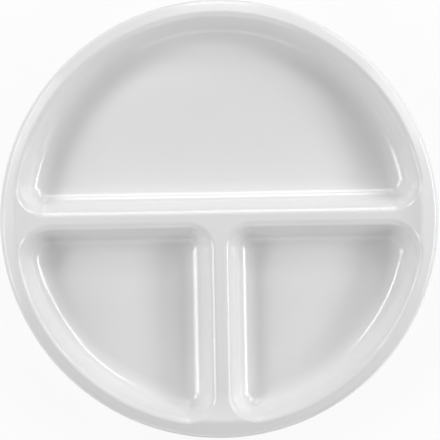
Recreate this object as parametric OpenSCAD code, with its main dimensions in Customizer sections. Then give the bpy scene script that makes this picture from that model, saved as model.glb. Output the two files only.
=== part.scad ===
// Divided plate: one large half-moon compartment and two quarter compartments in one moulding, which
// stands on a soft ring. Millimetres, +Z up, +Y towards the large compartment; the origin is on the
// table, under the middle of the plate.

/* [Plate] */
// Outer diameter over the rounded edge
plate_d = 254; // [230:1:290]
// Thickness of the compartments' walls and floors, square to their surface
wall = 2.5; // [1.8:0.1:2.8]

/* [Rim] */
// Radius over the plate's outer edge, from the band's slope to its widest place
rim_round = 4; // [3.4:0.1:4.4]
// Height of the upright side at the plate's widest place
rim_side = 0.1; // [0.1:0.1:0.4]
// Radius under the outer edge, where it hangs below the band
rim_low = 1.4; // [1.4:0.1:1.8]
// Width of the band that slopes from the rim's highest line down to the rounded edge
band_w = 7.2; // [5:0.1:8]
// How far the band falls from the rim's highest line to the rounded edge
band_drop = 2.8; // [1.5:0.1:3.6]
// Thickness of the band and of the land
land_t = 3.6; // [3.2:0.1:4.2]
// Distance from the plate's edge to the compartments' top edge
crest_margin = 6.9; // [6:0.1:9]

/* [Compartments] */
// Depth from the rim's highest line to the compartment floors
depth = 22; // [15:0.5:30]
// Slope of the compartment walls beside the rim, from level, in degrees
wall_slope = 70; // [66:1:75]
// Radius over the top of each wall
edge_round = 6.3; // [4:0.1:7]
// Slope at each wall's top edge, from level, in degrees
edge_lean = 20; // [10:1:26]
// Radius between wall and floor
floor_round = 13; // [8:0.2:14]
// Corners of the large compartment, at its top edge as all corners below
large_corner = 18.5; // [16:0.5:26]
// Corners of the small compartments where the two dividers meet
inner_corner = 16.1; // [15:0.1:22]
// Corners of the small compartments between the long divider and the rim
side_corner = 20.2; // [16:0.1:26]
// Corners of the small compartments between the short divider and the rim
end_corner = 17.7; // [16:0.1:24]
// Corners of all compartments at their floors
floor_corner = 4; // [3:0.1:8]

/* [Dividers] */
// How far the land on top of the dividers lies below the rim's highest line
land_drop = 4; // [0:0.5:6]
// Distance over which the land rises to that line at the dividers' ends
rise_w = 17.7; // [10:0.1:24]
// Flat width on top of the long divider
long_land = 3.7; // [3:0.1:8]
// Flat width on top of the short divider
short_land = 4.6; // [3.5:0.1:8]
// Middle of the long divider, from the plate's centre towards the large compartment
long_offset = 0.3; // [-6:0.1:12]

/* [Foot and ring] */
// How far the foot rib stands out under the compartment floors
foot_h = 1.9; // [1.2:0.1:4]
// Radius of the middle of the foot rib and of the ring in it
foot_r = 90; // [70:1:94]
// Width of the foot rib
foot_w = 6; // [5:0.1:9]
// Radius along the foot rib's lower edges
foot_edge = 0.8; // [0.3:0.1:0.9]
// Width of the groove that holds the ring
groove_w = 3.2; // [2.4:0.1:3.2]
// Depth of the groove
groove_depth = 1.6; // [1:0.1:2.2]
// Gap between the ring and each side of the groove
ring_gap = 0.1; // [0.05:0.05:0.2]
// How far the ring stands out of the foot rib
ring_proud = 0.6; // [0.4:0.1:1.2]
// Radius along the ring's lower edges
ring_edge = 0.5; // [0.2:0.1:0.8]

/* [Smoothness] */
// Steps along the rim side of the large compartment; a small one has half as many
rim_steps = 60; // [40:4:72]
// Steps round each corner of a compartment
corner_steps = 7; // [5:1:8]
// Steps over each rounding of a section
round_steps = 4; // [3:1:5]

/* [Hidden] */
$fn = 120;
overrun = 1;
// Share of the land's thickness at which the outsides of the compartments start
root_share = 0.9;

plate_r = plate_d / 2;
crest_r = plate_r - crest_margin;
floor_z = ring_proud + foot_h + wall;
top_z = floor_z + depth;
root_z = top_z - land_t * root_share;

// Outer edge: it starts where the band ends, at the band's slope
band_turn = atan(band_drop / band_w);
band_end_r = plate_r - rim_round * (1 - sin(band_turn));
band_end_z = top_z - band_drop;
rim_at = [plate_r - rim_round, band_end_z - rim_round * cos(band_turn)];
rim_low_at = [plate_r - rim_low, rim_at[1] - rim_side];
rim_low_turn = asin((band_end_z - land_t - rim_low_at[1]) / rim_low);
crease_r = band_end_r - band_w;
rise_r = crease_r - rise_w;

// Section of a wall; a run is measured inwards from the compartment's top edge
outer_round = floor_round + wall;
floor_rise = floor_round * (1 - cos(wall_slope));
straight_run = (depth - edge_drop(wall_slope) - floor_rise) / tan(wall_slope);
wall_run = edge_run(wall_slope) + straight_run + floor_round * sin(wall_slope);

// Top edges of the compartments along the dividers
large_y = long_offset + long_land / 2;
small_y = long_offset - long_land / 2;
small_x = short_land / 2;

// How far the top surface lies below the rim's highest line at radius r: outside it on the band, and
// inside it on the land, which rises ever more steeply towards the line
function band_fall(r) = band_drop * max(r - crease_r, 0) / band_w;
function rise_share(r) = min(max(r - rise_r, 0) / rise_w, 1);
function land_fall(r) = land_drop * (1 - pow(rise_share(r), 2));

// Where the round over a wall's top reaches a slope: how far inwards, and how far below the top edge
function edge_run(a) = edge_round * (sin(a) - sin(edge_lean));
function edge_drop(a) = edge_round * (cos(edge_lean) - cos(a));
function edge_turn(i) = edge_lean + (wall_slope - edge_lean) * i / round_steps;

function polar(r, a) = r * [cos(a), sin(a)];
function angle_of(p) = atan2(p[1], p[0]);
function arc(centre, r, from, to, steps) =
    [for (i = [0 : steps]) centre + polar(r, from + (to - from) * i / steps)];

// A corner's radius at a run inwards, and how far out its centre lies so that the corner touches the
// rim side from inside
function corner_at(corner, run) = max(corner - run, floor_corner);
function corner_reach(corner, across, run) = sqrt(pow(crest_r - run - corner, 2) - pow(across, 2));

// A compartment's outline at a run is a list of arcs [centre, radius, first angle, last angle, steps],
// counter-clockwise, with straight edges between arcs that don't touch
function large_arcs(run) =
    let (
        corner = corner_at(large_corner, run),
        across = large_y + run + corner,
        at = [corner_reach(corner, across, run), across],
        turn = angle_of(at)
    )
    [
        [at, corner, -90, turn, corner_steps],
        [[0, 0], crest_r - run, turn, 180 - turn, rim_steps],
        [[-at[0], at[1]], corner, 180 - turn, 270, corner_steps],
    ];

function small_arcs(run) =
    let (
        inner = corner_at(inner_corner, run),
        side = corner_at(side_corner, run),
        end = corner_at(end_corner, run),
        inner_at = [small_x + run + inner, small_y - run - inner],
        side_y = small_y - run - side,
        side_at = [corner_reach(side, side_y, run), side_y],
        end_x = small_x + run + end,
        end_at = [end_x, -corner_reach(end, end_x, run)]
    )
    [
        [inner_at, inner, 90, 180, corner_steps],
        [end_at, end, -180, angle_of(end_at), corner_steps],
        [[0, 0], crest_r - run, angle_of(end_at), angle_of(side_at), rim_steps / 2],
        [side_at, side, angle_of(side_at), 90, corner_steps],
    ];

// The points of an outline. The rim's own arc touches the corners before and after it, so the first of
// two such arcs leaves out its end.
function is_rim(a) = a[0] == [0, 0];
function ends_in(a, b) = is_rim(a) || is_rim(b) ? a[4] - 1 : a[4];
function outline(large, run) =
    let (arcs = large ? large_arcs(run) : small_arcs(run))
    [
        for (i = [0 : len(arcs) - 1])
            let (a = arcs[i], points = arc(a[0], a[1], a[2], a[3], a[4]))
            for (k = [0 : ends_in(a, arcs[(i + 1) % len(arcs)])]) points[k]
    ];

// A ring of points at a run inwards and a height. It sinks with the top surface, from nothing at the
// floor to the full fall at the top edge; inside_z is the height of the wall's inner face at that ring.
function ring(large, run, z, inside_z) =
    let (edge = outline(large, 0), line = outline(large, run), share = (inside_z - floor_z) / depth)
    [
        for (i = [0 : len(line) - 1])
            [line[i][0], line[i][1], z - share * (band_fall(norm(edge[i])) + land_fall(norm(line[i])))]
    ];
function flat_ring(large, run, z) = [for (p = outline(large, run)) [p[0], p[1], z]];

// Solid between rings that are stacked upwards, with a flat end below and above
module stack(rings) {
    n = len(rings[0]);
    last = (len(rings) - 1) * n;
    sides = [
        for (k = [0 : len(rings) - 2], i = [0 : n - 1])
            let (a = k * n + i, b = k * n + (i + 1) % n)
            each [[a, a + n, b], [b, a + n, b + n]]
    ];
    below = [for (i = [0 : n - 1]) i];
    above = [for (i = [n - 1 : -1 : 0]) last + i];
    polyhedron(points = [for (r = rings) each r], faces = concat(sides, [below], [above]));
}

// The space inside a compartment, from the floor to above the rim
module hollow(large) {
    floor_rings = [
        for (i = [0 : round_steps])
            let (a = wall_slope * i / round_steps, z = floor_z + floor_round * (1 - cos(a)))
            ring(large, wall_run - floor_round * sin(a), z, z)
    ];
    edge_rings = [
        for (i = [round_steps : -1 : 1])
            let (a = edge_turn(i), z = top_z - edge_drop(a))
            ring(large, edge_run(a), z, z)
    ];
    // the last facet over the edge runs on past the land, and the cut ends above the rim
    lip_run = -edge_run(edge_turn(1));
    lip_z = top_z + edge_drop(edge_turn(1));
    lip_ring = ring(large, lip_run, lip_z, lip_z);
    stack(concat(floor_rings, edge_rings, [lip_ring, flat_ring(large, lip_run, top_z + overrun)]));
}

// The outside of a compartment, one wall outside its hollow, from under its floor up into the land
module shell(large) {
    foot_rings = [
        for (i = [0 : round_steps])
            let (a = wall_slope * i / round_steps, z = floor_z + floor_round - outer_round * cos(a))
            ring(large, wall_run - outer_round * sin(a), z, z + wall * cos(a))
    ];
    turn_z = floor_z + floor_round - outer_round * cos(wall_slope);
    turn_run = wall_run - outer_round * sin(wall_slope);
    root_run = turn_run - (root_z - turn_z) / tan(wall_slope);
    stack(concat(foot_rings, [ring(large, root_run, root_z, root_z + wall * cos(wall_slope))]));
}

// The land, the band and the outer edge as one disc, before the compartments are cut out of it
module rim_disc() {
    rise = [
        for (i = [0 : round_steps])
            let (r = rise_r + rise_w * i / round_steps)
            [r, top_z - land_fall(r)]
    ];
    top = concat([[0, top_z - land_drop]], rise);
    edge_steps = round_steps * 2;
    rotate_extrude()
        polygon(concat(
            top,
            arc(rim_at, rim_round, 90 - band_turn, 0, edge_steps),
            arc(rim_low_at, rim_low, 0, -180 - rim_low_turn, edge_steps),
            [for (i = [len(top) - 1 : -1 : 0]) top[i] - [0, land_t]]
        ));
}

// The foot rib, carried up to the land so that it also braces the dividers from below
module foot_rib() {
    inner = foot_r - foot_w / 2;
    outer = foot_r + foot_w / 2;
    rotate_extrude()
        polygon(concat(
            arc([inner + foot_edge, ring_proud + foot_edge], foot_edge, 180, 270, round_steps),
            arc([outer - foot_edge, ring_proud + foot_edge], foot_edge, -90, 0, round_steps),
            [[outer, root_z - land_fall(outer)], [inner, root_z - land_fall(inner)]]
        ));
}

module groove() {
    rotate_extrude()
        translate([foot_r - groove_w / 2, ring_proud - overrun])
            square([groove_w, groove_depth + overrun]);
}

module both_sides() {
    children();
    mirror([1, 0, 0])
        children();
}

module plate() {
    color("white")
        difference() {
            union() {
                rim_disc();
                shell(true);
                both_sides()
                    shell(false);
                foot_rib();
            }
            hollow(true);
            both_sides()
                hollow(false);
            groove();
        }
}

module non_slip_ring() {
    half = groove_w / 2 - ring_gap;
    color("lightgray")
        rotate_extrude()
            polygon(concat(
                arc([foot_r - half + ring_edge, ring_edge], ring_edge, 180, 270, round_steps),
                arc([foot_r + half - ring_edge, ring_edge], ring_edge, -90, 0, round_steps),
                [[foot_r + half, ring_proud + groove_depth], [foot_r - half, ring_proud + groove_depth]]
            ));
}

plate();
non_slip_ring();
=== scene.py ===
"""A round divided compartment plate of white melamine on its soft non-slip ring, seen from above."""
import logging
import math
from collections.abc import Callable
from dataclasses import dataclass
from enum import Enum

import bmesh
import bpy
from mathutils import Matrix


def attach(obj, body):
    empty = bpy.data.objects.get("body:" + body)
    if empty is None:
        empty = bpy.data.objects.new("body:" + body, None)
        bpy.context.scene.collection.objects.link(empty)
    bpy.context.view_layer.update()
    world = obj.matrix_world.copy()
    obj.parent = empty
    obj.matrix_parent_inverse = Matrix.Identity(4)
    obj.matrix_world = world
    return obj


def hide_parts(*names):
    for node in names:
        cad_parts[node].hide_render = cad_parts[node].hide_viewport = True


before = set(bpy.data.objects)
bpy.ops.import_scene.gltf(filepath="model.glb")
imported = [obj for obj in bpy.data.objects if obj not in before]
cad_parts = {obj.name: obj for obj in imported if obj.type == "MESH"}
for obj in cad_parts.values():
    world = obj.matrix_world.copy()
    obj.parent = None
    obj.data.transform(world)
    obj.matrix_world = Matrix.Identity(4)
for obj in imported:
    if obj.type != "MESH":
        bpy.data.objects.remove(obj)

LOG = logging.getLogger("divided_plate")
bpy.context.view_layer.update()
MM = 0.001
# Distance in millimetres within which two points of an outline are the same
SAME_POINT = 1e-6
# Distances in metres within which vertices are welded, and below which an edge is taken away
WELD = 2e-6
TOO_SHORT = 1e-6
# Steps of a spun ring, and over the round along its lower edges
SPIN_STEPS = 240
ROUND_STEPS = 5
# Angle above which an edge stays sharp, and how strongly large faces steer the shading
SHARP_ANGLE = math.radians(50.0)
FACE_WEIGHT = 60
# Share of a straight wall's length at which the rings near its ends lie
HOLD = 0.04
# Share of the band's last step at which its last ring lies
BAND_HOLD = 0.8
# Shares of the margin outside a compartment's edge at which its next rings lie
MARGIN_ROWS = (0.8, 0.55)
# Shares of the way from the land out to the collar at which the rows of a land end lie
LAND_END_ROWS = (0.8, 0.64, 0.52, 0.43, 0.34, 0.25, 0.16, 0.08, 0.0)
# Detail of every noise pattern, and the values between which most of it lies
NOISE_DETAIL = 2.0
NOISE_LOW = 0.3
NOISE_HIGH = 0.7
Point = tuple[float, float]
Spot = tuple[float, float, float]


def polar(radius: float, turn: float) -> Point:
    """The point at a radius and a turn in radians round the plate's axis."""
    return radius * math.cos(turn), radius * math.sin(turn)


def steps_between(first: float, last: float, count: int) -> list[float]:
    """Evenly spaced values from first to last, both ends kept, with count steps between them."""
    return [first + (last - first) * i / count for i in range(count + 1)]


def arc_points(centre: Point, radius: float, turns: list[float]) -> list[Point]:
    """Points of a circle at these turns."""
    return [(centre[0] + radius * math.cos(a), centre[1] + radius * math.sin(a)) for a in turns]


class Face(Enum):
    """The two sides of the moulding."""

    TOP = "top"
    UNDER = "under"


class Joining(Enum):
    """The two ways in which one solid changes another."""

    CUT_OUT = "DIFFERENCE"
    WELD_ON = "UNION"


@dataclass(frozen=True)
class Arc:
    """One arc of a compartment's top edge.

    Attributes:
        centre: Middle of the arc, in millimetres.
        radius: Radius of the arc at the top edge.
        first: Turn at which the arc starts, in radians.
        last: Turn at which the arc ends.
        steps: Number of straight steps that draw it.
    """

    centre: Point
    radius: float
    first: float
    last: float
    steps: int

    def turns(self) -> list[float]:
        """Turns of the arc's points."""
        return steps_between(self.first, self.last, self.steps)

    def directions(self) -> list[Point]:
        """Unit directions from the centre to the arc's points."""
        return [polar(1.0, turn) for turn in self.turns()]


@dataclass(frozen=True)
class EdgePoint:
    """A point of a compartment's top edge and its direction away from the compartment."""

    at: Point
    out: Point

    def moved(self, outward: float) -> Point:
        """The point at a distance outward, or inward if it is negative, square to the edge."""
        return self.at[0] + self.out[0] * outward, self.at[1] + self.out[1] * outward

    def mirrored(self) -> "EdgePoint":
        """The same point across the short divider."""
        return EdgePoint((-self.at[0], self.at[1]), (-self.out[0], self.out[1]))


@dataclass(frozen=True)
class Outline:
    """The top edge of a compartment, counter-clockwise, as arcs with straight edges between them."""

    arcs: tuple[Arc, ...]

    def points(self) -> list[EdgePoint]:
        """Lists the points of the edge.

        Returns:
            All points in order, each of them once.
        """
        found: list[EdgePoint] = []
        for arc in self.arcs:
            for way in arc.directions():
                place = (arc.centre[0] + arc.radius * way[0], arc.centre[1] + arc.radius * way[1])
                if not found or math.dist(found[-1].at, place) > SAME_POINT:
                    found.append(EdgePoint(place, way))
        if math.dist(found[-1].at, found[0].at) < SAME_POINT:
            found.pop()
        return found

    def parts(self) -> list[list[EdgePoint]]:
        """The points of each arc by itself, in the order of the arcs."""
        return [Outline((arc,)).points() for arc in self.arcs]


class Skin:
    """A surface that is extruded ring by ring from one loop or open chain of vertices."""

    def __init__(self, name: str, first: list[Spot], closed: bool = True) -> None:
        """Starts the skin as a circle with one vertex for each point.

        Args:
            name: Name of the new object.
            first: The first ring, in millimetres.
            closed: False where the ring is an open chain.
        """
        bpy.ops.object.select_all(action="DESELECT")
        bpy.ops.mesh.primitive_circle_add(vertices=len(first), radius=1.0, fill_type="NOTHING")
        self.piece = bpy.context.object
        self.piece.name = name
        self.piece.data.name = name
        bpy.ops.object.mode_set(mode="EDIT")
        bpy.ops.mesh.select_mode(type="EDGE")
        bpy.ops.mesh.select_all(action="SELECT")
        shape = bmesh.from_edit_mesh(self.piece.data)
        shape.verts.ensure_lookup_table()
        for vertex, spot in zip(shape.verts, first):
            vertex.co = [value * MM for value in spot]
        if not closed:
            closing = shape.edges.get((shape.verts[0], shape.verts[-1]))
            for edge in shape.edges:
                edge.select_set(edge is closing)
            bmesh.update_edit_mesh(self.piece.data)
            bpy.ops.mesh.delete(type="EDGE")
            bpy.ops.mesh.select_all(action="SELECT")
        self.ring = list(range(len(first)))
        bmesh.update_edit_mesh(self.piece.data)

    def grow(self, spots: list[Spot]) -> None:
        """Extrudes the last ring and places the new one.

        Args:
            spots: One point for each vertex of the ring, in millimetres.
        """
        bpy.ops.mesh.extrude_edges_move()
        shape = bmesh.from_edit_mesh(self.piece.data)
        shape.verts.ensure_lookup_table()
        ring = []
        for index, spot in zip(self.ring, spots):
            old = shape.verts[index]
            new = next(edge.other_vert(old) for edge in old.link_edges if edge.other_vert(old).select)
            new.co = [value * MM for value in spot]
            ring.append(new.index)
        self.ring = ring
        bmesh.update_edit_mesh(self.piece.data)

    def close(self) -> None:
        """Fills the last ring with one flat face."""
        bpy.ops.mesh.edge_face_add()

    def finished(self) -> bpy.types.Object:
        """Leaves edit mode and gives the piece."""
        bpy.ops.object.mode_set(mode="OBJECT")
        return self.piece


def select_only(pieces: list[bpy.types.Object]) -> None:
    """Selects these objects alone and makes the first one active.

    Args:
        pieces: The objects to select.
    """
    bpy.ops.object.select_all(action="DESELECT")
    for piece in pieces:
        piece.select_set(True)
    bpy.context.view_layer.objects.active = pieces[0]


def face_outwards() -> None:
    """Selects the whole mesh that is in edit mode and turns its faces outwards."""
    bpy.ops.mesh.select_all(action="SELECT")
    bpy.ops.mesh.normals_make_consistent(inside=False)


def mirrored_copy(piece: bpy.types.Object, name: str) -> bpy.types.Object:
    """Copies a piece with its own mesh and mirrors it across the short divider.

    Args:
        piece: The piece on the right.
        name: Name of the copy.

    Returns:
        The piece on the left, its faces turned the right way again.
    """
    select_only([piece])
    bpy.ops.object.duplicate(linked=False)
    copy = bpy.context.object
    copy.name = name
    copy.data.name = name
    bpy.ops.transform.resize(value=(-1.0, 1.0, 1.0), center_override=(0.0, 0.0, 0.0))
    bpy.ops.object.transform_apply(location=True, rotation=True, scale=True)
    bpy.ops.object.mode_set(mode="EDIT")
    face_outwards()
    bpy.ops.object.mode_set(mode="OBJECT")
    return copy


def joined(pieces: list[bpy.types.Object], name: str) -> bpy.types.Object:
    """Joins pieces into the first one.

    Args:
        pieces: The objects to join.
        name: Name of the joined piece.

    Returns:
        The joined piece.
    """
    select_only(pieces)
    bpy.ops.object.join()
    piece = bpy.context.object
    piece.name = name
    piece.data.name = name
    return piece


def lower_rounds(inner: float, outer: float, low: float, edge: float) -> tuple[list[Point], list[Point]]:
    """Rounds the two lower edges of a ring's section.

    Args:
        inner: Radius of the ring's inner side.
        outer: Radius of its outer side.
        low: Height of its lower face.
        edge: Radius of the rounds.

    Returns:
        The points of the inner round, downwards, and those of the outer round, upwards.
    """
    down = steps_between(math.pi, 1.5 * math.pi, ROUND_STEPS)
    up = steps_between(1.5 * math.pi, 2 * math.pi, ROUND_STEPS)
    inner_round = arc_points((inner + edge, low + edge), edge, down)
    outer_round = arc_points((outer - edge, low + edge), edge, up)
    return inner_round, outer_round


def spun_ring(name: str, section: list[Point]) -> bpy.types.Object:
    """Makes a closed ring by spinning a closed section round the plate's axis.

    Args:
        name: Name of the piece.
        section: Radii and heights of the section, in millimetres.

    Returns:
        The closed ring.
    """
    skin = Skin(name, [(radius, 0.0, height) for radius, height in section])
    middle = (0.0, 0.0, 0.0)
    bpy.ops.mesh.spin(steps=SPIN_STEPS, angle=2 * math.pi, center=middle, axis=(0.0, 0.0, 1.0), dupli=False)
    bpy.ops.mesh.select_all(action="SELECT")
    bpy.ops.mesh.remove_doubles(threshold=WELD)
    face_outwards()
    return skin.finished()


def soften(piece: bpy.types.Object) -> None:
    """Shades a piece smooth, with normals that follow its larger faces.

    Args:
        piece: The piece, closed and with its faces outwards.
    """
    select_only([piece])
    bpy.ops.object.shade_smooth_by_angle(angle=SHARP_ANGLE)
    even = piece.modifiers.new("even_normals", "WEIGHTED_NORMAL")
    even.keep_sharp = True
    even.weight = FACE_WEIGHT
    bpy.ops.object.modifier_apply(modifier=even.name)


def combine(piece: bpy.types.Object, tool: bpy.types.Object, joining: Joining) -> None:
    """Cuts a tool out of a piece or welds it on, and deletes the tool.

    Args:
        piece: The piece that stays.
        tool: The closed solid that is cut out or welded on.
        joining: Which of the two is done.
    """
    select_only([piece])
    step = piece.modifiers.new("combined", "BOOLEAN")
    step.operation = joining.value
    step.solver = "EXACT"
    step.object = tool
    bpy.ops.object.modifier_apply(modifier=step.name)
    bpy.data.objects.remove(tool, do_unlink=True)


@dataclass
class PlateMoulding:
    """The one white moulding: three dished compartments, dividers, rim band, rolled edge and foot rib.

    Sizes are in millimetres. Those down to the ring's are the CAD source's. The others, each group under
    a comment, are this script's own: small rounds and a bevel where the solid has plain edges, and how the
    skins are laid out.
    """

    plate_r: float = 127.0
    wall: float = 2.5
    rim_round: float = 4.0
    rim_side: float = 0.1
    rim_low: float = 1.4
    band_w: float = 7.2
    band_drop: float = 2.8
    land_t: float = 3.6
    crest_margin: float = 6.9
    depth: float = 22.0
    wall_slope: float = math.radians(70.0)
    edge_round: float = 6.3
    edge_lean: float = math.radians(20.0)
    floor_round: float = 13.0
    large_corner: float = 18.5
    inner_corner: float = 16.1
    side_corner: float = 20.2
    end_corner: float = 17.7
    floor_corner: float = 4.0
    long_land: float = 3.7
    short_land: float = 4.6
    long_offset: float = 0.3
    land_drop: float = 4.0
    rise_w: float = 17.7
    foot_h: float = 1.9
    foot_r: float = 90.0
    foot_w: float = 6.0
    foot_edge: float = 0.8
    groove_w: float = 3.2
    groove_depth: float = 1.6
    ring_proud: float = 0.6
    # Half width of the smooth bend along the rim's highest line
    crease_soft: float = 1.2
    # Distance outside a compartment's edge at which the plain land or band starts
    margin: float = 1.6
    # Radius along the compartments' top edges
    crest_round: float = 1.2
    # Width of the plain slope inside the top edge, which takes that round
    crest_run: float = 0.5
    # Radius between the land's underside and the outsides of the compartments
    root_round: float = 1.5
    # Bevel along the mouth of the groove
    groove_lip: float = 0.2
    # Width of the outermost ring of each flat floor
    floor_ring: float = 1.0
    # Steps along the rim sides of the compartments, and the angle between two spokes of the rim
    large_steps: int = 124
    small_steps: int = 54
    spoke: float = math.radians(1.25)
    # Steps along each half of a corner at the rim, and along the corner where the dividers meet
    corner_steps: int = 9
    inner_corner_steps: int = 14
    # Steps over a compartment's top edge, the top of its wall, and the round into its floor
    crest_steps: int = 6
    edge_steps: int = 10
    floor_steps: int = 16
    # Steps over the round under the land, the outside of the floor's round, and the solids that cut the
    # foot rib
    root_steps: int = 5
    outside_steps: int = 14
    core_steps: int = 6
    # Steps over the band, the outer edge and its lower side
    band_steps: int = 4
    rim_steps: int = 16
    low_steps: int = 14

    def __post_init__(self) -> None:
        """Works out the sizes that follow from the others."""
        self.crest_r = self.plate_r - self.crest_margin
        self.floor_z = self.ring_proud + self.foot_h + self.wall
        self.top_z = self.floor_z + self.depth
        self.band_turn = math.atan(self.band_drop / self.band_w)
        self.band_end_r = self.plate_r - self.rim_round * (1 - math.sin(self.band_turn))
        self.crease_r = self.band_end_r - self.band_w
        self.land_r = self.crease_r - self.crease_soft
        self.collar_r = self.crest_r + self.margin
        slope = self.wall_slope
        edge_run, edge_drop = self.edge_bend(slope)
        floor_rise = self.floor_round * (1 - math.cos(slope))
        straight_run = (self.depth - edge_drop - floor_rise) / math.tan(slope)
        self.wall_run = edge_run + straight_run + self.floor_round * math.sin(slope)

    def edge_bend(self, turn: float) -> Point:
        """Follows the round over a wall's top to where it has a slope.

        Args:
            turn: The slope from level, in radians.

        Returns:
            How far inwards of the top edge and how far below it that is.
        """
        lean = self.edge_lean
        radius = self.edge_round - self.crest_run / (math.sin(self.wall_slope) - math.sin(lean))
        run = self.crest_run + radius * (math.sin(turn) - math.sin(lean))
        return run, self.crest_run * math.tan(lean) + radius * (math.cos(lean) - math.cos(turn))

    # heights of the top surface

    def softened(self, past: float) -> float:
        """Bends a height smoothly at the rim's highest line.

        Args:
            past: Distance past the line, negative before it.

        Returns:
            That distance, nothing before the line, and a smooth bend between the two.
        """
        if abs(past) < self.crease_soft:
            return (past + self.crease_soft) ** 2 / (4 * self.crease_soft)
        return max(past, 0.0)

    def band_fall(self, radius: float) -> float:
        """How far the band lies below the rim's highest line at a radius."""
        return self.band_drop * self.softened(radius - self.crease_r) / self.band_w

    def land_fall(self, radius: float) -> float:
        """How far the dividers' land lies below the rim's highest line at a radius."""
        share = max(0.0, 1 - self.softened(self.crease_r - radius) / self.rise_w)
        return self.land_drop * (1 - share ** 2)

    def crest_tilt(self, point: EdgePoint) -> float:
        """Works out how the band slopes away from a compartment.

        Args:
            point: A point of the compartment's edge.

        Returns:
            The slope as an angle in radians, nothing where the land is level.
        """
        radius = math.hypot(*point.at)
        nudge = 0.01
        steep = (self.band_fall(radius + nudge) - self.band_fall(radius - nudge)) / (2 * nudge)
        outward = (point.at[0] * point.out[0] + point.at[1] * point.out[1]) / radius
        return math.atan(max(steep * outward, 0.0))

    def crest_rows(self, points: list[EdgePoint]) -> list[list[Spot]]:
        """Rings over a compartment's top edge, from the plain land or band into the wall.

        Args:
            points: Points of the edge.

        Returns:
            The rings, each point of which lies on a round that touches the sheet and the wall.
        """
        rows = []
        for share in steps_between(0.0, 1.0, self.crest_steps):
            row = []
            for point in points:
                tilt = self.crest_tilt(point)
                reach = self.crest_round * math.tan((self.edge_lean + tilt) / 2)
                turn = tilt - share * (self.edge_lean + tilt)
                outward = reach * math.cos(tilt) + self.crest_round * (math.sin(turn) - math.sin(tilt))
                drop = reach * math.sin(tilt) + self.crest_round * (math.cos(tilt) - math.cos(turn))
                x, y, height = self.sheet_spot(*point.moved(outward), Face.TOP)
                if outward > 0:
                    height += math.tan(tilt) * outward
                else:
                    height += self.band_fall(math.hypot(x, y)) - self.band_fall(math.hypot(*point.at))
                row.append((x, y, height - drop))
            rows.append(row)
        return rows

    def sheet_spot(self, x: float, y: float, face: Face) -> Spot:
        """Places a point on the plain land or band.

        Args:
            x: Its place to the plate's right.
            y: Its place towards the large compartment.
            face: Side of the moulding.

        Returns:
            The point at its height.
        """
        height = self.top_z if face is Face.TOP else self.top_z - self.land_t
        radius = math.hypot(x, y)
        return x, y, height - self.band_fall(radius) - self.land_fall(radius)

    # sections and outlines

    def inner_section(self) -> list[Point]:
        """Draws the section of a compartment's inside.

        Returns:
            Runs and heights from its top edge to its floor.
        """
        slope = self.wall_slope
        section = []
        for turn in steps_between(self.edge_lean, slope, self.edge_steps):
            run, drop = self.edge_bend(turn)
            section.append((run, self.top_z - drop))
        fillet = [
            (
                self.wall_run - self.floor_round * math.sin(a),
                self.floor_z + self.floor_round * (1 - math.cos(a)),
            )
            for a in steps_between(slope, 0.0, self.floor_steps)
        ]
        section += self.held(section[-1], fillet[0]) + fillet
        section.append((self.wall_run + self.floor_ring, self.floor_z))
        return section

    def outer_section(self) -> list[Point]:
        """Draws the section of a compartment's outside.

        Returns:
            Runs and heights from under the land to under the floor.
        """
        slope = self.wall_slope
        outer_round = self.floor_round + self.wall
        middle_z = self.floor_z + self.floor_round
        turn = (self.wall_run - outer_round * math.sin(slope), middle_z - outer_round * math.cos(slope))
        roof = self.top_z - self.land_t
        corner_run = turn[0] - (roof - turn[1]) / math.tan(slope)
        reach = self.root_round * math.tan(slope / 2)
        root = [
            (
                corner_run - reach + self.root_round * math.sin(a),
                roof - self.root_round * (1 - math.cos(a)),
            )
            for a in steps_between(0.0, slope, self.root_steps)
        ]
        foot = [
            (self.wall_run - outer_round * math.sin(a), middle_z - outer_round * math.cos(a))
            for a in steps_between(slope, 0.0, self.outside_steps)
        ]
        section = root + self.held(root[-1], foot[0]) + foot
        section.append((self.wall_run + self.floor_ring, self.floor_z - self.wall))
        return section

    @staticmethod
    def held(top: Point, bottom: Point) -> list[Point]:
        """Adds two rings to a straight wall, which keep its shading plain.

        Args:
            top: Run and height of the wall's upper end.
            bottom: Run and height of its lower end.

        Returns:
            A point near each end.
        """
        return [
            (top[0] + (bottom[0] - top[0]) * share, top[1] + (bottom[1] - top[1]) * share)
            for share in (HOLD, 1 - HOLD)
        ]

    def corner_at(self, radius: float, run: float) -> float:
        """A corner's radius at a run inwards from the top edge."""
        return max(radius - run, self.floor_corner)

    def corner_arcs(self, centre: Point, radius: float, first: float, run: float) -> list[Arc]:
        """The arc of a corner that touches the rim side, split where the land ends.

        Args:
            centre: Middle of the corner.
            radius: Its radius at this run.
            first: Turn at its free end.
            run: Distance inwards from the top edge.

        Returns:
            Two arcs, from the free end to the touching end.
        """
        touch = math.atan2(centre[1], centre[0])
        # the arc is split where its copy outside the edge crosses the circle at which the land ends start
        far = self.collar_r - radius - run - self.margin
        reach = radius + run + self.margin
        cosine = (self.land_r ** 2 - far ** 2 - reach ** 2) / (2 * reach * far)
        split = touch - math.copysign(math.acos(min(1.0, cosine)), touch - first)
        steps = self.corner_steps
        return [Arc(centre, radius, first, split, steps), Arc(centre, radius, split, touch, steps)]

    @staticmethod
    def turned_back(arcs: list[Arc]) -> list[Arc]:
        """The same arcs in the other direction."""
        return [Arc(a.centre, a.radius, a.last, a.first, a.steps) for a in reversed(arcs)]

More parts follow.
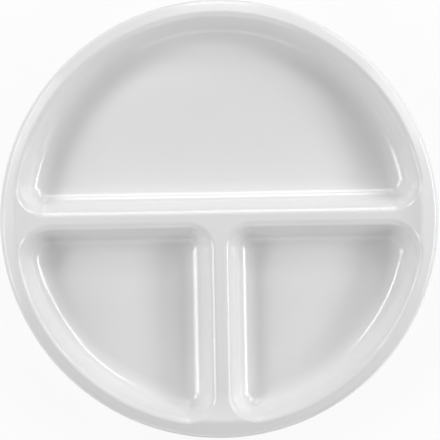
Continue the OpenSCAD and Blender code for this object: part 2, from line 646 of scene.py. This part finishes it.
    def large_outline(self, run: float = 0.0) -> Outline:
        """The half-moon compartment, from the right end of the long divider round to its left end.

        Args:
            run: Distance inwards from the top edge, negative outside it.

        Returns:
            The outline at that run.
        """
        radius = self.corner_at(self.large_corner, run)
        across = self.long_offset + self.long_land / 2 + run + radius
        centre = self.touching(across, radius, run)
        right = self.corner_arcs(centre, radius, -math.pi / 2, run)
        left = [
            Arc((-a.centre[0], a.centre[1]), a.radius, math.pi - a.last, math.pi - a.first, a.steps)
            for a in reversed(right)
        ]
        touch = right[-1].last
        rim = Arc((0.0, 0.0), self.crest_r - run, touch, math.pi - touch, self.large_steps)
        return Outline((*right, rim, *left))

    def small_outline(self, run: float = 0.0) -> Outline:
        """The right quarter compartment, from the middle of the plate round to the long divider.

        Args:
            run: Distance inwards from the top edge, negative outside it.

        Returns:
            The outline at that run.
        """
        edge_y = self.long_offset - self.long_land / 2 - run
        edge_x = self.short_land / 2 + run
        inner_r = self.corner_at(self.inner_corner, run)
        end_r = self.corner_at(self.end_corner, run)
        side_r = self.corner_at(self.side_corner, run)
        end = self.touching(edge_x + end_r, end_r, run)
        side = self.touching(side_r - edge_y, side_r, run)
        end_arcs = self.corner_arcs((end[1], -end[0]), end_r, -math.pi, run)
        side_arcs = self.turned_back(self.corner_arcs((side[0], -side[1]), side_r, math.pi / 2, run))
        first = end_arcs[-1].last
        rim = Arc((0.0, 0.0), self.crest_r - run, first, side_arcs[0].first, self.small_steps)
        centre = (edge_x + inner_r, edge_y - inner_r)
        middle = Arc(centre, inner_r, math.pi / 2, math.pi, self.inner_corner_steps)
        return Outline((middle, *end_arcs, rim, *side_arcs))

    def touching(self, across: float, radius: float, run: float) -> Point:
        """Middle of a corner that touches the rim side from inside, at a distance across."""
        return math.sqrt((self.crest_r - run - radius) ** 2 - across ** 2), across

    # skins

    def compartment(self, name: str, outline: Callable[[float], Outline], face: Face) -> bpy.types.Object:
        """Makes one side of a compartment, from the land outside its edge to its floor.

        Args:
            name: Name of the piece.
            outline: The compartment's outline at a run.
            face: The inside, which is the moulding's top, or the outside under it.

        Returns:
            The open skin, with its floor closed.
        """
        points = outline(0.0).points()
        skin = Skin(name, [self.sheet_spot(*p.moved(self.margin), face) for p in points])
        if face is Face.TOP:
            for share in MARGIN_ROWS:
                skin.grow([self.sheet_spot(*p.moved(self.margin * share), face) for p in points])
            for row in self.crest_rows(points):
                skin.grow(row)
            section = self.inner_section()
            start_run, start_z = 0.0, self.top_z
        else:
            section = self.outer_section()
            start_run, start_z = section[0]
        end_z = section[-1][1]
        # how much lower the band makes each point of the edge, which fades out down the wall
        sunk = []
        for x, y, height in [self.sheet_spot(*p.moved(-start_run), face) for p in points]:
            sunk.append(start_z - height - self.land_fall(math.hypot(x, y)))
        for run, height in section:
            share = (height - end_z) / (start_z - end_z)
            ring = []
            for point, fall in zip(outline(run).points(), sunk):
                ring.append((*point.at, height - share * (fall + self.land_fall(math.hypot(*point.at)))))
            skin.grow(ring)
        skin.close()
        return skin.finished()

    def land_end(
        self, name: str, before: list[EdgePoint], after: list[EdgePoint], face: Face
    ) -> tuple[bpy.types.Object, list[float]]:
        """Makes the sloping end of a divider's land, between two corners and the collar.

        Args:
            name: Name of the piece.
            before: Points of the first corner from its touching end to where the land starts.
            after: Points of the second corner from where the land starts to its touching end.
            face: Side of the moulding.

        Returns:
            The skin and the turns of its spokes.
        """
        first = [p.moved(self.margin) for p in before]
        last = [p.moved(self.margin) for p in after]
        inner = first[:-1] + self.land_arc(first[-1], last[0]) + last[1:]
        turns = [math.atan2(y, x) for x, y in inner]
        outer = [polar(self.collar_r, turn) for turn in turns]
        skin = Skin(name, [self.sheet_spot(x, y, face) for x, y in outer], closed=False)
        for share in LAND_END_ROWS:
            row = [
                (a[0] + (b[0] - a[0]) * share, a[1] + (b[1] - a[1]) * share)
                for a, b in zip(inner, outer)
            ]
            skin.grow([self.sheet_spot(x, y, face) for x, y in row])
        return skin.finished(), turns

    def land_arc(self, first: Point, last: Point) -> list[Point]:
        """Follows the circle at which a land end starts, counter-clockwise.

        Args:
            first: Where the arc starts.
            last: Where it ends.

        Returns:
            Its points, both ends among them.
        """
        first_turn = math.atan2(first[1], first[0])
        last_turn = math.atan2(last[1], last[0])
        if last_turn < first_turn:
            last_turn += 2 * math.pi
        count = max(2, round((last_turn - first_turn) / self.spoke))
        middle = [polar(self.land_r, t) for t in steps_between(first_turn, last_turn, count)]
        return [first, *middle[1:-1], last]

    def land_rise(
        self, name: str, before: list[EdgePoint], after: list[EdgePoint], face: Face
    ) -> bpy.types.Object:
        """Makes the rising part of a divider's land, between the free parts of two corners.

        Args:
            name: Name of the piece.
            before: Points of the first corner, from the straight land outwards.
            after: Points of the second corner in the same order.
            face: Side of the moulding.

        Returns:
            The skin.
        """
        starts = [p.moved(self.margin) for p in before]
        ends = [p.moved(self.margin) for p in after]
        arc = self.land_arc(starts[-1], ends[-1])
        shares = steps_between(0.0, 1.0, len(arc) - 1)
        rows = []
        for number, (start, end) in enumerate(zip(starts, ends)):
            # the rows turn from straight lines into the arc at the land end
            bow = (number / (len(starts) - 1)) ** 2
            row = []
            for share, (far_x, far_y) in zip(shares, arc):
                x = start[0] + (end[0] - start[0]) * share
                y = start[1] + (end[1] - start[1]) * share
                x += bow * (far_x - starts[-1][0] - (ends[-1][0] - starts[-1][0]) * share)
                y += bow * (far_y - starts[-1][1] - (ends[-1][1] - starts[-1][1]) * share)
                row.append(self.sheet_spot(x, y, face))
            rows.append(row)
        skin = Skin(name, rows[0], closed=False)
        for row in rows[1:]:
            skin.grow(row)
        return skin.finished()

    def rim_section(self) -> list[Point]:
        """Draws the section of the rim.

        Returns:
            Radii and heights from the collar over the band, round the outer edge and back underneath.
        """
        end_z = self.top_z - self.band_drop
        over = (self.plate_r - self.rim_round, end_z - self.rim_round * math.cos(self.band_turn))
        low = (self.plate_r - self.rim_low, over[1] - self.rim_side)
        tuck = math.asin((end_z - self.land_t - low[1]) / self.rim_low)
        radii = steps_between(self.collar_r, self.band_end_r, self.band_steps)
        band = [(r, self.top_z - self.band_fall(r)) for r in radii]
        over_turns = steps_between(math.pi / 2 - self.band_turn, 0.0, self.rim_steps)
        low_turns = steps_between(0.0, -math.pi - tuck, self.low_steps)
        return [
            *self.held_ends(band),
            *arc_points(over, self.rim_round, over_turns),
            *arc_points(low, self.rim_low, low_turns),
            *[(r, z - self.land_t) for r, z in reversed(band[:-1])],
        ]

    @staticmethod
    def held_ends(band: list[Point]) -> list[Point]:
        """The band without its last point, but with one just before it, which keeps it plain."""
        (r0, z0), (r1, z1) = band[-2:]
        return band[:-1] + [(r0 + (r1 - r0) * BAND_HOLD, z0 + (z1 - z0) * BAND_HOLD)]

    def rim(self, turns: list[float]) -> bpy.types.Object:
        """Makes the band, the rolled edge and their underside round the whole plate.

        Args:
            turns: Turns of the spokes, which the compartments and the land ends share.

        Returns:
            The open skin.
        """
        section = self.rim_section()
        first_r, first_z = section[0]
        skin = Skin("rim", [(*polar(first_r, t), first_z) for t in turns])
        for radius, height in section[1:]:
            skin.grow([(*polar(radius, t), height) for t in turns])
        return skin.finished()

    def sides(self, face: Face) -> tuple[list[bpy.types.Object], list[float]]:
        """Makes all of one side of the moulding inside the rim, except the flat land.

        Args:
            face: Side of the moulding.

        Returns:
            Its pieces, and the turns of all spokes in order round the plate.
        """
        large = self.large_outline()
        small = self.small_outline()
        large_free, large_touching, *_ = large.parts()
        _, end_free, end_touching, _, side_touching, side_free = small.parts()
        tag = face.value
        large_piece = self.compartment("large_" + tag, self.large_outline, face)
        right_piece = self.compartment("right_" + tag, self.small_outline, face)
        left_piece = mirrored_copy(right_piece, "left_" + tag)
        # the parts of the corners that touch the rim side bound the land ends
        right_end, right_turns = self.land_end("land_right_" + tag, side_touching, large_touching, face)
        left_end = mirrored_copy(right_end, "land_left_" + tag)
        other_touching = [p.mirrored() for p in reversed(end_touching)]
        low_end, low_turns = self.land_end("land_low_" + tag, other_touching, end_touching, face)
        # their free parts bound the rising land
        right_rise = self.land_rise("rise_right_" + tag, side_free[::-1], large_free, face)
        left_rise = mirrored_copy(right_rise, "rise_left_" + tag)
        low_rise = self.land_rise("rise_low_" + tag, [p.mirrored() for p in end_free], end_free, face)
        # the rim side is the third arc of the large outline and the fourth of a small one
        large_turns = large.arcs[2].turns()
        small_turns = small.arcs[3].turns()
        turns = []
        for stretch in (
            right_turns,
            large_turns,
            [math.pi - turn for turn in reversed(right_turns)],
            [-math.pi - turn for turn in reversed(small_turns)],
            low_turns,
            small_turns,
        ):
            turns += stretch[:-1]
        ends = [right_end, left_end, low_end, right_rise, left_rise, low_rise]
        return [large_piece, right_piece, left_piece, *ends], turns

    # foot

    def foot(self) -> bpy.types.Object:
        """Makes the foot rib with its groove, carried up between the compartments as webs.

        Returns:
            The closed rib, which reaches half way into the compartments' walls and floors.
        """
        inner = self.foot_r - self.foot_w / 2
        outer = self.foot_r + self.foot_w / 2
        low = self.ring_proud
        roof = low + self.groove_depth
        lip = self.groove_lip
        top = self.top_z - self.land_drop - self.land_t / 2
        groove_in = self.foot_r - self.groove_w / 2
        groove_out = self.foot_r + self.groove_w / 2
        inner_round, outer_round = lower_rounds(inner, outer, low, self.foot_edge)
        groove = [
            (groove_in - lip, low),
            (groove_in, low + lip),
            (groove_in, roof),
            (groove_out, roof),
            (groove_out, low + lip),
            (groove_out + lip, low),
        ]
        rib = spun_ring("foot_rib", [(inner, top), *inner_round, *groove, *outer_round, (outer, top)])
        right = self.core("core_right", self.small_outline)
        left = mirrored_copy(right, "core_left")
        for core in (left, right, self.core("core_large", self.large_outline)):
            combine(rib, core, Joining.CUT_OUT)
        return rib

    def core(self, name: str, outline: Callable[[float], Outline]) -> bpy.types.Object:
        """Makes a closed solid that fills a compartment to the middle of its walls.

        Args:
            name: Name of the piece.
            outline: The compartment's outline at a run.

        Returns:
            The closed solid, which stands out above the land.
        """
        middle = self.floor_round + self.wall / 2
        centre_z = self.floor_z + self.floor_round
        slope = self.wall_slope
        section = [
            (self.wall_run - middle * math.sin(a), centre_z - middle * math.cos(a))
            for a in steps_between(0.0, slope, self.core_steps)
        ]
        over_z = self.top_z + self.wall
        run, height = section[-1]
        section.append((run - (over_z - height) / math.tan(slope), over_z))
        rings = []
        for run, height in section:
            share = max(height - self.floor_z, 0.0) / self.depth
            ring = []
            for point in outline(run).points():
                ring.append((*point.at, height - share * self.land_fall(math.hypot(*point.at))))
            rings.append(ring)
        skin = Skin(name, rings[0])
        skin.close()
        bpy.ops.mesh.select_all(action="DESELECT")
        shape = bmesh.from_edit_mesh(skin.piece.data)
        for edge in shape.edges:
            edge.select_set(True)
        bmesh.update_edit_mesh(skin.piece.data)
        for ring in rings[1:]:
            skin.grow(ring)
        skin.close()
        face_outwards()
        return skin.finished()

    # assembly

    def close_land(self, piece: bpy.types.Object) -> None:
        """Fills the flat T-shaped land on both sides of the moulding with one face each.

        Args:
            piece: The moulding, all of its skins welded.
        """
        middle = (self.top_z - self.land_drop - self.land_t / 2) * MM
        for face in Face:
            bpy.ops.mesh.select_all(action="DESELECT")
            shape = bmesh.from_edit_mesh(piece.data)
            for edge in shape.edges:
                height = (edge.verts[0].co.z + edge.verts[1].co.z) / 2
                edge.select_set(edge.is_boundary and (height > middle) == (face is Face.TOP))
            bmesh.update_edit_mesh(piece.data)
            bpy.ops.mesh.edge_face_add()

    def build(self) -> bpy.types.Object:
        """Builds the whole moulding.

        Returns:
            The closed piece at its place.
        """
        top, turns = self.sides(Face.TOP)
        under, _ = self.sides(Face.UNDER)
        plate = joined([self.rim(turns), *top, *under], "plate_moulding")
        bpy.ops.object.mode_set(mode="EDIT")
        bpy.ops.mesh.select_mode(type="EDGE")
        bpy.ops.mesh.select_all(action="SELECT")
        bpy.ops.mesh.remove_doubles(threshold=WELD)
        bpy.ops.mesh.dissolve_degenerate(threshold=TOO_SHORT)
        self.close_land(plate)
        face_outwards()
        bpy.ops.object.mode_set(mode="OBJECT")
        combine(plate, self.foot(), Joining.WELD_ON)
        soften(plate)
        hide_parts("plate")
        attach(plate, "root")
        return plate


@dataclass
class NonSlipRing:
    """The soft ring in the groove of the foot rib, on which the plate stands.

    Attributes:
        holder: The moulding whose groove it fills.
        gap: Gap between the ring and each side of the groove, in millimetres.
        edge: Radius along the ring's lower edges.
    """

    holder: PlateMoulding
    gap: float = 0.1
    edge: float = 0.5

    def build(self) -> bpy.types.Object:
        """Spins the ring's section round the plate's axis.

        Returns:
            The closed ring at its place.
        """
        half = self.holder.groove_w / 2 - self.gap
        inner = self.holder.foot_r - half
        outer = self.holder.foot_r + half
        top = self.holder.ring_proud + self.holder.groove_depth
        inner_round, outer_round = lower_rounds(inner, outer, 0.0, self.edge)
        ring = spun_ring("soft_ring", [(inner, top), *inner_round, *outer_round, (outer, top)])
        soften(ring)
        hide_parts("non_slip_ring")
        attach(ring, "root")
        return ring


def linear(hex_colour: str) -> tuple[float, float, float, float]:
    """Turns an sRGB hex colour to linear red, green and blue with an alpha of one.

    Args:
        hex_colour: Six hex digits after a hash sign.

    Returns:
        The linear colour.
    """
    channels = [int(hex_colour[i:i + 2], 16) / 255 for i in (1, 3, 5)]
    red, green, blue = (
        c / 12.92 if c <= 0.04045 else ((c + 0.055) / 1.055) ** 2.4 for c in channels
    )
    return red, green, blue, 1.0


def add_node(
    tree: bpy.types.NodeTree,
    kind: str,
    settings: dict[str | int, object],
    links: dict[str | int, bpy.types.NodeSocket],
) -> bpy.types.Node:
    """Adds a shader node.

    Args:
        tree: The node tree of the material or of the room that gets it.
        kind: The node's type.
        settings: Values of its properties or, by name or number, of its input sockets.
        links: Output sockets of other nodes by the name or number of the input that they feed.

    Returns:
        The new node.
    """
    node = tree.nodes.new(kind)
    for name, value in settings.items():
        if isinstance(name, int) or name in node.inputs:
            node.inputs[name].default_value = value
        else:
            setattr(node, name, value)
    for name, source in links.items():
        tree.links.new(source, node.inputs[name])
    return node


def cleared(owner: bpy.types.Material | bpy.types.World) -> bpy.types.NodeTree:
    """Empties the node tree of a material or a world.

    Args:
        owner: The material or the world.

    Returns:
        Its node tree.
    """
    owner.use_nodes = True
    owner.node_tree.nodes.clear()
    return owner.node_tree


def white_when_seen(
    tree: bpy.types.NodeTree, lit: bpy.types.NodeSocket, white: bpy.types.NodeSocket, share: float
) -> bpy.types.NodeSocket:
    """Mixes plain white into a shader, only where the camera or a glossy or clear surface sees it.

    Args:
        tree: The node tree of the floor or of the room.
        lit: The shader that lights the plate.
        white: The plain white one.
        share: Share of plain white.

    Returns:
        The mixed shader.
    """
    path = add_node(tree, "ShaderNodeLightPath", {}, {})
    seen = path.outputs["Is Camera Ray"]
    for ray in ("Is Glossy Ray", "Is Transmission Ray"):
        either = add_node(tree, "ShaderNodeMath", {"operation": "MAXIMUM"}, {0: seen, 1: path.outputs[ray]})
        seen = either.outputs["Value"]
    part = add_node(tree, "ShaderNodeMath", {"operation": "MULTIPLY", 1: share}, {0: seen})
    mixed = add_node(tree, "ShaderNodeMixShader", {}, {0: part.outputs["Value"], 1: lit, 2: white})
    return mixed.outputs["Shader"]


@dataclass(frozen=True)
class MouldedFinish:
    """A moulded surface: a faintly clouded colour, uneven gloss and a fine relief.

    Attributes:
        name: Name of the material.
        pale: Lighter shade of its colour.
        deep: Darker shade of its colour.
        cloud_scale: How close the shades lie, in noise cells a metre, as for the next two.
        ior: Index of refraction.
        roughness: Mean roughness.
        roughness_spread: How far the roughness strays from its mean.
        haze_scale: How close rougher and smoother spots lie.
        relief_scale: How close the bumps of the relief lie.
        relief_height: Height of the relief in metres.
        relief_share: Strength of the relief.
    """

    name: str
    pale: str
    deep: str
    cloud_scale: float
    ior: float
    roughness: float
    roughness_spread: float
    haze_scale: float
    relief_scale: float
    relief_height: float
    relief_share: float

    def material(self) -> bpy.types.Material:
        """Builds the node material.

        Returns:
            The new material.
        """
        material = bpy.data.materials.new(self.name)
        tree = cleared(material)
        place = add_node(tree, "ShaderNodeTexCoord", {}, {}).outputs["Object"]
        cloud, haze, relief = (
            add_node(tree, "ShaderNodeTexNoise", {"Scale": scale, "Detail": NOISE_DETAIL}, {"Vector": place})
            for scale in (self.cloud_scale, self.haze_scale, self.relief_scale)
        )
        shade = add_node(tree, "ShaderNodeMix", {"data_type": "RGBA"}, {0: cloud.outputs["Fac"]})
        shade.inputs[6].default_value = linear(self.deep)
        shade.inputs[7].default_value = linear(self.pale)
        reach = {
            "From Min": NOISE_LOW,
            "From Max": NOISE_HIGH,
            "To Min": self.roughness - self.roughness_spread,
            "To Max": self.roughness + self.roughness_spread,
        }
        rough = add_node(tree, "ShaderNodeMapRange", reach, {"Value": haze.outputs["Fac"]})
        bump = add_node(
            tree,
            "ShaderNodeBump",
            {"Strength": self.relief_share, "Distance": self.relief_height},
            {"Height": relief.outputs["Fac"]},
        )
        shader = add_node(
            tree,
            "ShaderNodeBsdfPrincipled",
            {"IOR": self.ior},
            {
                "Base Color": shade.outputs[2],
                "Roughness": rough.outputs["Result"],
                "Normal": bump.outputs["Normal"],
            },
        )
        add_node(tree, "ShaderNodeOutputMaterial", {}, {"Surface": shader.outputs["BSDF"]})
        return material


@dataclass(frozen=True)
class PressedMelamine(MouldedFinish):
    """White melamine, compression moulded in a polished die.

    The eye sees a neutral white body under a clear, even gloss, with crisp highlights that waver
    very slightly where the moulding shrank, and no grain.
    """

    name: str = "pressed_white_melamine"
    pale: str = "#ECECEC"
    deep: str = "#EAEAEA"
    # Clouds in the white about 25 mm wide
    cloud_scale: float = 40.0
    # Melamine resin
    ior: float = 1.55
    roughness: float = 0.16
    roughness_spread: float = 0.03
    # Polishing haze about 1 mm apart, drawn coarser than it is
    haze_scale: float = 1000.0
    # Shrink waves about 6 mm apart
    relief_scale: float = 160.0
    relief_height: float = 0.00002
    relief_share: float = 0.5


@dataclass(frozen=True)
class SoftRubber(MouldedFinish):
    """Light grey thermoplastic rubber, injection moulded in a blasted mould.

    The eye sees a matt, slightly grainy grey without highlights.
    """

    name: str = "moulded_soft_rubber"
    pale: str = "#ABAEB0"
    deep: str = "#A1A4A6"
    # Flow clouds about 12 mm wide
    cloud_scale: float = 80.0
    ior: float = 1.5
    roughness: float = 0.62
    roughness_spread: float = 0.08
    # Blasted grain about 0.4 mm apart, drawn coarser than it is
    haze_scale: float = 2500.0
    relief_scale: float = 2500.0
    relief_height: float = 0.00003
    relief_share: float = 0.7


@dataclass(frozen=True)
class PaperSweep:
    """Matt white backdrop paper, which the camera sees as plain white with the plate's faint shadow."""

    colour: str = "#F4F4F4"
    roughness: float = 0.9
    # Fibre bumps about 1 mm apart, drawn coarser than they are
    fibre_scale: float = 900.0
    fibre_height: float = 0.00002
    fibre_share: float = 0.2
    white_share: float = 0.9

    def material(self) -> bpy.types.Material:
        """Builds the node material.

        Returns:
            The new material.
        """
        material = bpy.data.materials.new("matt_white_paper")
        tree = cleared(material)
        place = add_node(tree, "ShaderNodeTexCoord", {}, {}).outputs["Object"]
        fine = {"Scale": self.fibre_scale, "Detail": NOISE_DETAIL}
        fibre = add_node(tree, "ShaderNodeTexNoise", fine, {"Vector": place})
        relief = {"Strength": self.fibre_share, "Distance": self.fibre_height}
        bump = add_node(tree, "ShaderNodeBump", relief, {"Height": fibre.outputs["Fac"]})
        paper = add_node(
            tree,
            "ShaderNodeBsdfPrincipled",
            {"Base Color": linear(self.colour), "Roughness": self.roughness},
            {"Normal": bump.outputs["Normal"]},
        )
        glow = add_node(tree, "ShaderNodeEmission", {"Strength": 1.0}, {})
        mixed = white_when_seen(tree, paper.outputs["BSDF"], glow.outputs["Emission"], self.white_share)
        add_node(tree, "ShaderNodeOutputMaterial", {}, {"Surface": mixed})
        return material


def dress(piece: bpy.types.Object, material: bpy.types.Material) -> None:
    """Gives a piece one material and reports it.

    Args:
        piece: The finished piece.
        material: Its material.
    """
    piece.data.materials.clear()
    piece.data.materials.append(material)
    LOG.info("%s: %d faces, %s", piece.name, len(piece.data.polygons), material.name)


@dataclass(frozen=True)
class Softbox:
    """A soft lamp that faces the plate.

    Attributes:
        name: Where it stands.
        bearing: Direction in degrees, counter-clockwise from the plate's right.
        height: Degrees above the plate.
        power: Watts.
        distance: Metres from the plate's middle.
        width: Metres along the level.
        tall: Metres upwards.
    """

    name: str
    bearing: float
    height: float
    power: float
    distance: float = 1.5
    width: float = 0.5
    tall: float = 0.26

    def build(self) -> None:
        """Adds the lamp, turned towards the plate's middle."""
        bearing = math.radians(self.bearing)
        height = math.radians(self.height)
        level = self.distance * math.cos(height)
        place = (level * math.cos(bearing), level * math.sin(bearing), self.distance * math.sin(height))
        turn = (math.pi / 2 - height, 0.0, bearing + math.pi / 2)
        bpy.ops.object.light_add(type="AREA", location=place, rotation=turn)
        lamp = bpy.context.object
        lamp.name = self.name
        lamp.data.shape = "RECTANGLE"
        lamp.data.size = self.width
        lamp.data.size_y = self.tall
        lamp.data.energy = self.power


@dataclass
class Studio:
    """The paper floor, the soft lamps, the pale surroundings and the camera above the plate."""

    floor_size: float = 6.0
    # Heights of the camera and of the level at which its view has the width below, and how far it
    # sees, in metres
    camera_height: float = 2.5
    view_level: float = 0.023
    far_limit: float = 20.0
    # Width of the view at that level, in metres, and the sensor behind the lens, in millimetres
    view_width: float = 0.25458
    sensor: float = 36.0
    # Where the picture's middle lies on the plate, in metres, and the camera's roll, in degrees
    aim: Point = (0.00035, -0.00075)
    roll: float = -1.0
    sky: float = 0.156
    lamps: tuple[Softbox, ...] = (
        Softbox("right_bank_near", 350.0, 26.0, 3.88),
        Softbox("right_bank_middle", 10.0, 26.0, 4.69),
        Softbox("right_bank_high", 30.0, 36.0, 2.90),
        Softbox("right_bank_far", 50.0, 26.0, 2.72),
        Softbox("far_low", 90.0, 16.0, 3.04),
        Softbox("far_high", 90.0, 36.0, 2.12),
        Softbox("left_bank_far", 150.0, 36.0, 3.59),
        Softbox("left_bank_middle", 170.0, 36.0, 2.27),
        Softbox("left_bank_near", 190.0, 36.0, 1.75),
        Softbox("left_bank_low", 190.0, 26.0, 3.08),
        Softbox("near_low", 270.0, 16.0, 2.29, width=1.3, tall=0.4),
        Softbox("near_skimming", 270.0, 6.0, 2.84, width=1.3),
    )

    def floor(self) -> None:
        """Lays the paper under the plate."""
        bpy.ops.object.select_all(action="DESELECT")
        bpy.ops.mesh.primitive_plane_add(size=self.floor_size, location=(0.0, 0.0, 0.0))
        paper = bpy.context.object
        paper.name = "paper_floor"
        dress(paper, PaperSweep().material())

    def surroundings(self) -> None:
        """Fills the room with even pale light, which the camera sees as plain white."""
        world = bpy.data.worlds.new("pale_room")
        bpy.context.scene.world = world
        tree = cleared(world)
        plain = {"Color": (1.0, 1.0, 1.0, 1.0)}
        fill = add_node(tree, "ShaderNodeBackground", plain | {"Strength": self.sky}, {})
        white = add_node(tree, "ShaderNodeBackground", plain | {"Strength": 1.0}, {})
        mixed = white_when_seen(tree, fill.outputs["Background"], white.outputs["Background"], 1.0)
        add_node(tree, "ShaderNodeOutputWorld", {}, {"Surface": mixed})

    def camera(self) -> None:
        """Hangs the camera straight above the plate, with a long lens."""
        data = bpy.data.cameras.new("overhead_camera")
        data.sensor_width = self.sensor
        data.lens = self.sensor * (self.camera_height - self.view_level) / self.view_width
        data.clip_end = self.far_limit
        camera = bpy.data.objects.new("overhead_camera", data)
        bpy.context.scene.collection.objects.link(camera)
        camera.location = (*self.aim, self.camera_height)
        camera.rotation_euler = (0.0, 0.0, math.radians(self.roll))
        bpy.context.scene.camera = camera

    def build(self) -> None:
        """Sets up the studio."""
        self.floor()
        self.surroundings()
        for lamp in self.lamps:
            lamp.build()
        self.camera()
        bpy.context.scene.view_settings.view_transform = "Standard"


def main() -> None:
    """Builds the plate, its ring and the studio."""
    logging.basicConfig(level=logging.INFO, format="%(name)s: %(message)s")
    moulding = PlateMoulding()
    dress(moulding.build(), PressedMelamine().material())
    dress(NonSlipRing(moulding).build(), SoftRubber().material())
    Studio().build()


if __name__ == "__main__":
    main()
